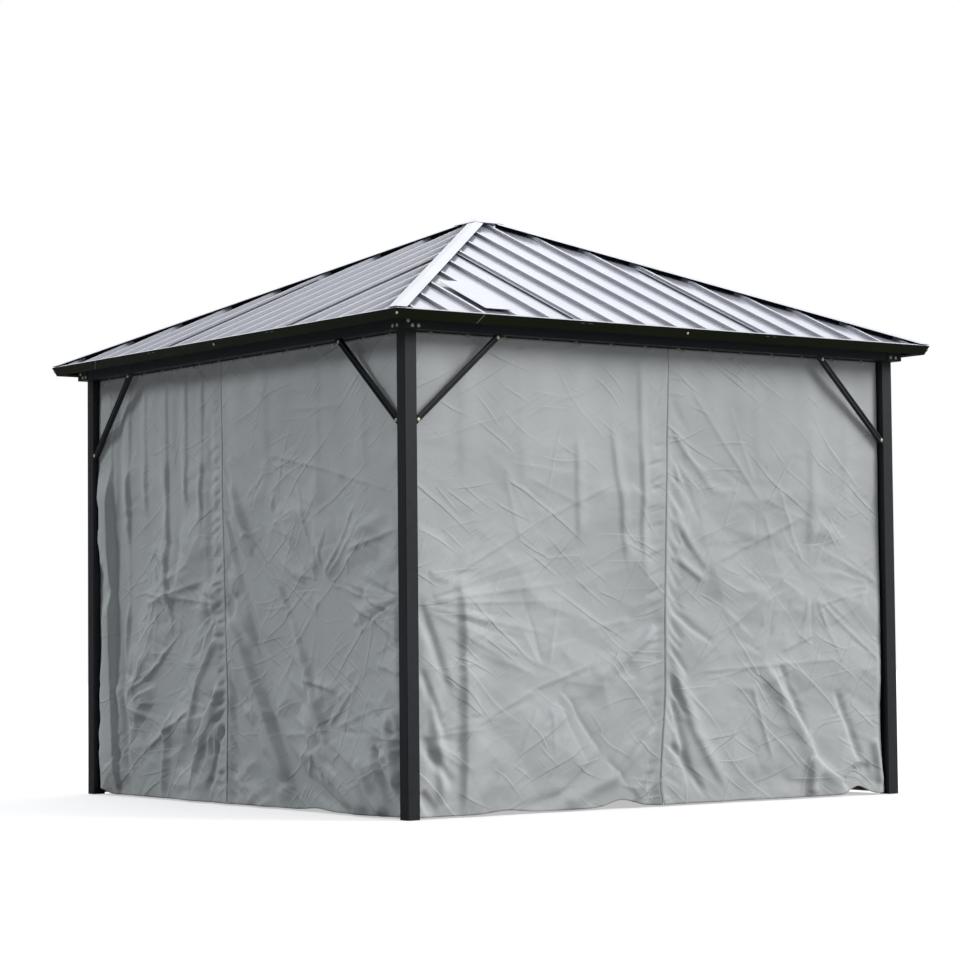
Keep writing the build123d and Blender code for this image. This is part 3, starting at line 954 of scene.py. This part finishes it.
FRONT_RIGHT_FOLDS = [
    Fold(((60, 1650), (190, 1500), (300, 1380), (420, 1360)), 9, 24, 12, 2),
    Fold(((60, 1575), (220, 1240)), -11, 18, 12, -3),
    Fold(((50, 1275), (260, 1020)), 12, 26, 12, 3),
    Fold(((50, 1095), (230, 980)), 9, 22, 12),
    Fold(((40, 865), (160, 770), (280, 700)), -14, 20, 12, -4),
    Fold(((20, 655), (160, 320), (360, 50)), 15, 40, 22, 9),
    Fold(((20, 520), (140, 80)), -11, 20, 16),
    Fold(((10, 290), (160, 120), (215, 50)), -13, 18, 16),
    Fold(((560, 625), (700, 440), (820, 280), (870, 160), (1060, 40)), 19, 22, 48, 12),
    Fold(((660, 620), (760, 440), (840, 250)), -10, 18, 18),
    Fold(((860, 190), (850, 10)), 17, 34, 26),
    Fold(((1000, 490), (1160, 150)), -11, 22, 18),
    Fold(((1050, 40), (1130, 110), (1220, 130)), -18, 26, 26),
    Fold(((1240, 260), (1290, 40)), 15, 26, 24),
    Fold(((150, 590), (470, 830), (790, 1060)), 6, 18, 8, sharp=True),
    Fold(((150, 575), (600, 600), (1060, 625)), 5, 16, 8, sharp=True),
    Fold(((170, 1840), (570, 1340)), 4.5, 16, 8, sharp=True),
    Fold(((280, 1050), (830, 1270)), 5, 16, 8, sharp=True),
    Fold(((910, 900), (1300, 600)), 6, 16, 8, sharp=True),
    Fold(((500, 520), (620, 180)), 6, 18, 10, sharp=True),
    Fold(((900, 1700), (880, 1090)), 6, 50, 26),
    Fold(((560, 1960), (580, 1450)), 4, 60, 30),
    Fold(((1120, 1960), (1100, 1300)), 4, 60, 30),
    *Fan((860, 980), 520, 180, 150, 14, 5, 15).folds(),
    *Fan((1330, 960), 520, 180, 34, 9, 6, 16).folds(),
    *Fan((600, 640), 480, 60, 150, 10, 5, 17).folds(),
    *Fan((60, 1600), 420, -52, 26, 6, 6, 18).folds(),
    *Fan((560, 1360), 460, 200, 150, 8, 4, 19).folds(),
]

LEFT_LEFT_FOLDS = [
    Fold(((-1190, 1990), (-1180, 1400), (-1150, 700), (-1110, 60)), 30, 9, 120, 34),
    Fold(((-1110, 1990), (-1100, 1400), (-1060, 700), (-1010, 20)), -8, 20, 26, -12),
    Fold(((-1010, 1990), (-1015, 1500), (-1020, 610)), 11, 14, 44),
    Fold(((-860, 1990), (-850, 1300)), 7, 14, 36),
    Fold(((-660, 1990), (-650, 1300), (-600, 800)), 12, 12, 50),
    Fold(((-480, 1990), (-470, 1350)), 9, 12, 40),
    Fold(((-330, 1990), (-320, 1250)), 9, 12, 36),
    Fold(((-560, 1900), (-540, 1000)), -7, 30, 24),
    Fold(((-250, 1800), (-240, 700)), -6, 30, 26),
    Fold(((-120, 560), (-420, 120)), 16, 34, 18),
    Fold(((-110, 380), (-260, 60)), -13, 24, 18),
    Fold(((-620, 420), (-700, 30)), 12, 36, 22),
    Fold(((-160, 760), (-330, 560), (-420, 330)), 14, 26, 14),
    Fold(((-1000, 480), (-740, 620), (-560, 760)), 8, 18, 8, sharp=True),
    Fold(((-900, 960), (-150, 900)), 7, 16, 8, sharp=True),
    Fold(((-860, 900), (-300, 1010)), 6, 16, 8, sharp=True),
    Fold(((-830, 230), (-620, 330), (-400, 420)), 8, 18, 8, sharp=True),
    *Fan((-1020, 430), 560, 20, 60, 9, 7, 25).folds(),
    *Fan((-150, 900), 420, 190, 60, 9, 7, 26).folds(),
    *Fan((-720, 980), 460, 10, 150, 9, 5, 27).folds(),
    *Fan((-140, 420), 420, 215, 50, 7, 7, 28).folds(),
    *Fan((-560, 640), 360, 100, 150, 10, 5, 29).folds(),
    *Fan((-860, 1180), 360, 340, 60, 7, 4, 30).folds(),
]

LEFT_RIGHT_FOLDS = [
    Fold(((-150, 1560), (100, 1180), (350, 960), (570, 610), (750, 280), (1100, 0)), 16, 18, 46, 16),
    Fold(((-100, 860), (60, 680), (210, 460), (460, 70)), 32, 24, 80, 26),
    Fold(((-80, 500), (90, 320), (320, 0)), -16, 24, 18),
    Fold(((-100, 1320), (160, 760), (320, 350), (530, 140), (920, 0)), -18, 22, 22),
    Fold(((560, 420), (740, 200), (1080, 20)), 20, 18, 60),
    Fold(((-100, 1050), (20, 860), (120, 760)), 10, 24, 16),
    Fold(((490, 1020), (860, 950), (1270, 850)), 9, 20, 9, sharp=True),
    Fold(((520, 1000), (900, 960), (1280, 800)), -8, 18, 9, sharp=True),
    Fold(((810, 920), (1280, 740)), 9, 18, 8, sharp=True),
    Fold(((890, 1110), (1280, 1190)), 7, 16, 8, sharp=True),
    Fold(((420, 700), (570, 560), (800, 520)), 8, 18, 8, sharp=True),
    Fold(((200, 1560), (640, 1480), (1290, 1330)), 6, 16, 8, sharp=True),
    Fold(((420, 1740), (860, 1730)), 4, 16, 8, sharp=True),
    Fold(((980, 240), (1080, 80), (1180, 0)), 20, 22, 24),
    Fold(((1090, 300), (1180, 120), (1260, 20)), -18, 22, 20),
    Fold(((1200, 420), (1260, 120)), 18, 22, 20),
    Fold(((200, 1990), (240, 1400)), 5, 30, 54),
    Fold(((640, 1990), (650, 1300)), 5, 30, 60),
    Fold(((1000, 1990), (1010, 1300)), 4, 30, 60),
    *Fan((660, 930), 560, 20, 160, 17, 8, 35).folds(),
    *Fan((620, 960), 320, 200, 150, 13, 6, 42).folds(),
    *Fan((240, 1240), 340, 300, 150, 10, 5, 43).folds(),
    *Fan((930, 1180), 380, 250, 150, 9, 4, 44).folds(),
    *Fan((700, 340), 460, 30, 160, 14, 8, 36).folds(),
    *Fan((1330, 900), 640, 176, 26, 10, 9, 37).folds(),
    *Fan((260, 1500), 420, -60, 100, 9, 5, 38).folds(),
    *Fan((1330, 300), 420, 160, 40, 7, 8, 39).folds(),
    *Fan((1000, 640), 420, 120, 150, 8, 6, 40).folds(),
]


def mirrored(folds: list[Fold], shift: float = 0.0) -> list[Fold]:
    """The same folds for the other panel of a wall, turned about the middle of the wall.

    Args:
        folds: Folds of one panel.
        shift: Added to each height, so that two panels don't look alike.

    Returns:
        The mirrored folds.
    """
    made = []
    for fold in folds:
        path = tuple((-x, max(z + shift * math.sin(x / 300), 0)) for x, z in fold.path)
        made.append(Fold(path, fold.height * 0.9, fold.below, fold.above, fold.end, fold.sharp))
    return made


@dataclass
class Curtains:
    """All eight panels."""

    panels: list[CurtainPanel] = field(default_factory=list)

    def plan(self) -> None:
        """Sets out the panels: the two walls in view with their own folds, the others with turned ones."""
        far = {"columns": 84, "rows": 126}
        bulged = ((6, 1292.0), (300, 1304.0), (1130, 1309.0), (1990, 1308.0))
        pinched = ((6, 1309.0), (290, 1292.0), (700, 1304.0), (1990, 1308.0))
        self.panels = [
            CurtainPanel(Side.FRONT, Half.LEFT, FRONT_SEAM, FRONT_LEFT_FOLDS,
                         ((-860, 110, 12), (-240, 90, 30)), 11),
            CurtainPanel(Side.FRONT, Half.RIGHT, FRONT_SEAM, FRONT_RIGHT_FOLDS,
                         ((1140, 60, 36),), 23, pinched),
            CurtainPanel(Side.LEFT, Half.LEFT, LEFT_SEAM, LEFT_LEFT_FOLDS,
                         ((-1270, 60, 24),), 37, bulged, crumple=1.5, fullness=1.8),
            CurtainPanel(Side.LEFT, Half.RIGHT, LEFT_SEAM, LEFT_RIGHT_FOLDS,
                         ((640, 110, 10),), 41, crumple=1.5, fullness=1.8),
            CurtainPanel(Side.RIGHT, Half.LEFT, RIGHT_SEAM, mirrored(FRONT_RIGHT_FOLDS, 60),
                         ((-900, 110, 26),), 53, **far),
            CurtainPanel(Side.RIGHT, Half.RIGHT, RIGHT_SEAM, mirrored(FRONT_LEFT_FOLDS, 60),
                         ((700, 110, 26),), 61, **far),
            CurtainPanel(Side.BACK, Half.LEFT, BACK_SEAM, mirrored(LEFT_RIGHT_FOLDS, 60),
                         ((-640, 110, 26),), 71, **far),
            CurtainPanel(Side.BACK, Half.RIGHT, BACK_SEAM, mirrored(LEFT_LEFT_FOLDS, 60),
                         ((560, 120, 22),), 83, **far),
        ]

    def build(self, book: FinishBook) -> None:
        for panel in self.panels:
            piece = panel.build(book)
            panel.flat_size()
            LOG.info("%s: %d faces", piece.name, len(piece.data.polygons))


@dataclass(frozen=True)
class Zip:
    """The zip that joins the two panels of a wall: a coil of teeth down the seam."""

    side: Side
    seam: Seam
    pitch: float = 6.0
    width: float = 7.0
    thick: float = 1.6
    filled: float = 0.62
    ends: tuple[float, float] = (12.0, 20.0)

    def build(self, book: FinishBook) -> Piece:
        """Models one tooth pair and repeats it down the seam.

        Args:
            book: The finishes.

        Returns:
            The coil as one piece.
        """
        deselect()
        bpy.ops.mesh.primitive_cube_add(size=1.0)
        tooth = named("zip_tooth")
        tooth.scale = (self.width * MM, self.thick * MM, self.pitch * self.filled * MM)
        settle(tooth)
        heights = np.arange(CLOTH_HEM + self.ends[0], CLOTH_TOP - self.ends[1], self.pitch)
        across = self.seam.place(heights)
        stand = CLOTH_PLANE + calmed(self.seam.stand(heights), heights) + self.thick
        places = [self.side.turn @ spot(x, out, z) for x, out, z in zip(across, stand, heights)]
        piece = joined(f"{self.side.word}_zip", tooth, places)
        return book.give(piece, "curtain_fabric")


# Fittings


@dataclass
class Bolts:
    """Pan-head bolts on the corner brackets and the brace ends."""

    head: float = 11.0
    rise: float = 3.2
    bevel: float = 0.9
    washer: float = 0.72
    plate: float = 0.9

    def pattern(self) -> Piece:
        """One bolt head with a washer under it, its axis towards the front.

        Returns:
            The head at the origin.
        """
        deselect()
        bpy.ops.mesh.primitive_cylinder_add(vertices=16, radius=self.head / 2 * MM, depth=self.rise * MM)
        head = named("bolt_head")
        head.location.z = self.rise / 2 * MM
        settle(head)
        apply_modifier(head, "BEVEL", width=self.bevel * MM, segments=2)
        reach = self.head * self.washer * MM
        bpy.ops.mesh.primitive_cylinder_add(vertices=16, radius=reach, depth=self.plate * MM)
        washer = named("washer")
        washer.location.z = self.plate / 2 * MM
        settle(washer)
        select_only(head)
        washer.select_set(True)
        bpy.ops.object.join()
        bolt = named("bolt")
        bolt.data.transform(Matrix.Rotation(math.radians(90), 4, "X"))
        return bolt

    def build(self, book: FinishBook) -> Piece:
        """Sets a head at every joint of the frame.

        Args:
            book: The finishes.

        Returns:
            All heads as one piece.
        """
        places = []
        for side in Side:
            for x, z in BRACKET_BOLTS:
                places.append(side.turn @ spot(x, BRACKET_FACE, z))
            for way in (-1, 1):
                for share in BRACE_BOLTS:
                    x, out, z = (a + (b - a) * share for a, b in zip(BRACE_FOOT, BRACE_HEAD))
                    places.append(side.turn @ spot(way * x, out, z))
        piece = joined("bolt_heads", self.pattern(), places)
        smooth_faces(piece, 40.0)
        return book.give(piece, "hook_steel")


@dataclass
class FasciaScrews:
    """Small screws in the face of each fascia, near one corner and at mid-length."""

    head: float = 12.0
    down: float = 22.0
    along: tuple[float, float] = (-1490.0, 41.0)
    flatness: float = 0.45

    def build(self, book: FinishBook) -> Piece:
        """Sets the screws on the sloped faces.

        Args:
            book: The finishes.

        Returns:
            All screws as one piece.
        """
        deselect()
        bpy.ops.mesh.primitive_uv_sphere_add(segments=12, ring_count=8, radius=self.head / 2 * MM)
        screw = named("screw")
        screw.scale = (1.0, self.flatness, 1.0)
        settle(screw)
        places = [side.turn @ on_fascia(x, self.down) for side in Side for x in self.along]
        piece = joined("fascia_screws", screw, places)
        smooth_faces(piece)
        return book.give(piece, "hook_steel")


@dataclass
class Eyelets:
    """Pressed metal rings in the head of each curtain, one at every hook."""

    ring: float = 6.4
    wire: float = 2.1
    below_head: float = 10.0
    stand: float = 11.0

    def build(self, book: FinishBook) -> Piece:
        """Models one ring and repeats it along the four walls.

        Args:
            book: The finishes.

        Returns:
            All rings as one piece.
        """
        deselect()
        bpy.ops.mesh.primitive_torus_add(
            major_segments=12, minor_segments=6, major_radius=self.ring * MM, minor_radius=self.wire * MM
        )
        ring = named("eyelet")
        ring.data.transform(Matrix.Rotation(math.radians(90), 4, "X"))
        height = CLOTH_TOP - self.below_head
        places = []
        for side, seam in SEAMS.items():
            middle = float(seam.place(np.array([CLOTH_TOP]))[0])
            for left, right in ((-POST_EDGE, middle), (middle, POST_EDGE)):
                for number in range(HOOKS_PER_PANEL):
                    x = left + (right - left) * (number + 0.5) / HOOKS_PER_PANEL
                    places.append(side.turn @ spot(x, CLOTH_PLANE + self.stand, height))
        piece = joined("curtain_eyelets", ring, places)
        smooth_faces(piece)
        return book.give(piece, "hook_steel")


@dataclass
class FasciaJoints:
    """Bare cut edge of the outer length where the two lengths of each fascia meet, a thin pale line."""

    middle: float = -1070.0
    slant: float = 36.0
    face: float = 45.0
    width: float = 0.9
    thick: float = 0.5
    short: float = 3.0

    def build(self, book: FinishBook) -> Piece:
        """Models one edge on the sloped face and turns it to the four sides.

        Args:
            book: The finishes.

        Returns:
            All edges as one piece.
        """
        deselect()
        bpy.ops.mesh.primitive_cube_add(size=1.0)
        edge = named("fascia_edge")
        edge.scale = (self.width * MM, self.thick * MM, (math.hypot(self.slant, self.face) - self.short) * MM)
        settle(edge)
        lean = Matrix.Rotation(math.atan2(self.slant, self.face), 4, "Y")
        places = [side.turn @ on_fascia(self.middle, self.face / 2) @ lean for side in Side]
        return book.give(joined("fascia_edges", edge, places), "hook_steel")


@dataclass(frozen=True)
class LapFlanges:
    """Free edges of the roof sheets beside each lapped rib. They stand a little open, so that a dark line shows."""

    rib: float = 520.5
    beside: float = 11.0
    width: float = 20.0
    level: float = 6.5
    plate: float = 1.0
    hip_end: float = 60.0
    eave_end: float = 6.0

    def build(self, book: FinishBook) -> Piece:
        """Models one edge and repeats it beside every lap of the four slopes.

        Args:
            book: The finishes.

        Returns:
            All edges as one piece.
        """
        low, high = ROOF_HALF - self.eave_end, self.rib + self.hip_end
        deselect()
        bpy.ops.mesh.primitive_cube_add(size=1.0)
        flange = named("lap_flange")
        flange.scale = (self.width * MM, (low - high) / math.cos(ROOF_PITCH) * MM, self.plate * MM)
        settle(flange)
        middle = (low + high) / 2
        pan = PAN_AT_EAVE + (ROOF_HALF - middle) * math.tan(ROOF_PITCH)
        raised = Matrix.Rotation(ROOF_PITCH, 4, "X") @ spot(0.0, 0.0, self.level)
        places = []
        for side in Side:
            for rib in (-self.rib, self.rib):
                for way in (-1, 1):
                    x = rib + way * (self.beside + self.width / 2)
                    places.append(side.turn @ spot(x, middle, pan) @ raised)
        return book.give(joined("lap_flanges", flange, places), "roof_sheet")


# View


@dataclass(frozen=True)
class PhotoCamera:
    """The photo's own view, found from the pavilion's straight edges."""

    place: tuple[float, float, float] = (-7.8725, -10.8885, 0.7529)
    yaw: float = 35.847
    pitch: float = 3.125
    roll: float = -0.5426
    lens: float = 105.957

    def build(self) -> Piece:
        """Adds the camera and makes it the scene's.

        Returns:
            The camera.
        """
        yaw, pitch, roll = (math.radians(a) for a in (self.yaw, self.pitch, self.roll))
        ahead = Vector((math.sin(yaw) * math.cos(pitch), math.cos(yaw) * math.cos(pitch), math.sin(pitch)))
        right = Vector((math.cos(yaw), -math.sin(yaw), 0.0))
        up = right.cross(ahead)
        across = right * math.cos(roll) + up * math.sin(roll)
        above = up * math.cos(roll) - right * math.sin(roll)
        data = bpy.data.cameras.new("Photo view")
        data.sensor_width = 36.0
        data.lens = self.lens
        data.clip_end = 200.0
        camera = bpy.data.objects.new("Photo view", data)
        bpy.context.collection.objects.link(camera)
        turn = Matrix((across, above, -ahead)).transposed().to_4x4()
        camera.matrix_world = Matrix.Translation(self.place) @ turn
        bpy.context.scene.camera = camera
        return camera


@dataclass(frozen=True)
class SunLamp:
    """One far lamp: where it stands, how strong and how soft it is, and whether shiny paint mirrors it."""

    name: str
    stands: tuple[float, float, float]
    strength: float
    softness: float
    colour: tuple[float, float, float] = (1.0, 0.985, 0.96)
    glint: bool = True

    def build(self) -> None:
        """Adds the lamp."""
        data = bpy.data.lights.new(self.name, "SUN")
        data.energy = self.strength
        data.angle = math.radians(self.softness)
        data.color = self.colour
        lamp = bpy.data.objects.new(self.name, data)
        bpy.context.collection.objects.link(lamp)
        lamp.rotation_euler = Vector(self.stands).to_track_quat("Z", "Y").to_euler()
        lamp.visible_glossy = self.glint


@dataclass(frozen=True)
class Studio:
    """White surroundings: a sky that is bright above and dim at the left, two soft suns and a white floor."""

    horizon: float = 0.26
    zenith: float = 1.2
    left_side: float = 0.06
    behind: float = 1.75

    def build(self) -> None:
        """Adds the sky, the suns and the floor."""
        self.add_sky()
        SunLamp("Sun", (0.6, -0.62, 0.5), 1.92, 26.0).build()
        cool = (0.93, 0.98, 0.99)
        SunLamp("Light of the sky at the back left", (-0.6, 0.62, 0.52), 1.12, 14.0, cool, False).build()
        deselect()
        bpy.ops.mesh.primitive_plane_add(size=60.0, location=(0.0, 0.0, -0.002))
        floor = settle(named("studio_floor"))
        floor.data.materials.append(WhiteFloor("Studio floor", 0.5, 0.62, 0.26).build())

    def add_sky(self) -> None:
        """Wires a sky that is bright above and behind and dim at the left, with pure white in view."""
        g = Graph(bpy.data.worlds.new("Sky"))
        way = g.add("ShaderNodeTexCoord").outputs["Generated"]
        split = g.add("ShaderNodeSeparateXYZ", {0: way})
        above = g.ranged(split.outputs[2], 0.12, 0.62, self.horizon, self.zenith)
        aside = g.ranged(split.outputs[0], -0.8, 0.25, self.left_side, 1.0)
        strength = g.sum(above, aside, "MULTIPLY")
        strength = g.sum(strength, g.ranged(split.outputs[1], 0.0, 0.7, 0.9, self.behind), "MULTIPLY")
        light = g.add("ShaderNodeBackground", {"Color": (0.95, 0.97, 1.0, 1.0), "Strength": strength}).outputs[0]
        white = g.add("ShaderNodeBackground", {"Color": (1.0, 1.0, 1.0, 1.0), "Strength": 1.0}).outputs[0]
        seen = g.add("ShaderNodeLightPath").outputs["Is Camera Ray"]
        mix = g.add("ShaderNodeMixShader", {0: seen, 1: light, 2: white}).outputs[0]
        g.add("ShaderNodeOutputWorld", {"Surface": mix})
        bpy.context.scene.world = g.owner


def main() -> None:
    """Builds the looks in order."""
    logging.basicConfig(level=logging.INFO, format="%(name)s: %(message)s")
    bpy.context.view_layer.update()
    bpy.context.scene.view_settings.view_transform = "Standard"
    book = FinishBook()
    book.build()
    book.dress()
    LOG.info("finishes: %d", len(book.finishes))
    curtains = Curtains()
    curtains.plan()
    curtains.build(book)
    for side, seam in SEAMS.items():
        zip_piece = Zip(side, seam).build(book)
        LOG.info("%s: %d faces", zip_piece.name, len(zip_piece.data.polygons))
    for fitting in (Bolts(), FasciaScrews(), Eyelets(), FasciaJoints(), LapFlanges()):
        piece = fitting.build(book)
        LOG.info("%s: %d faces", piece.name, len(piece.data.polygons))
    Studio().build()
    PhotoCamera().build()


if __name__ == "__main__":
    main()
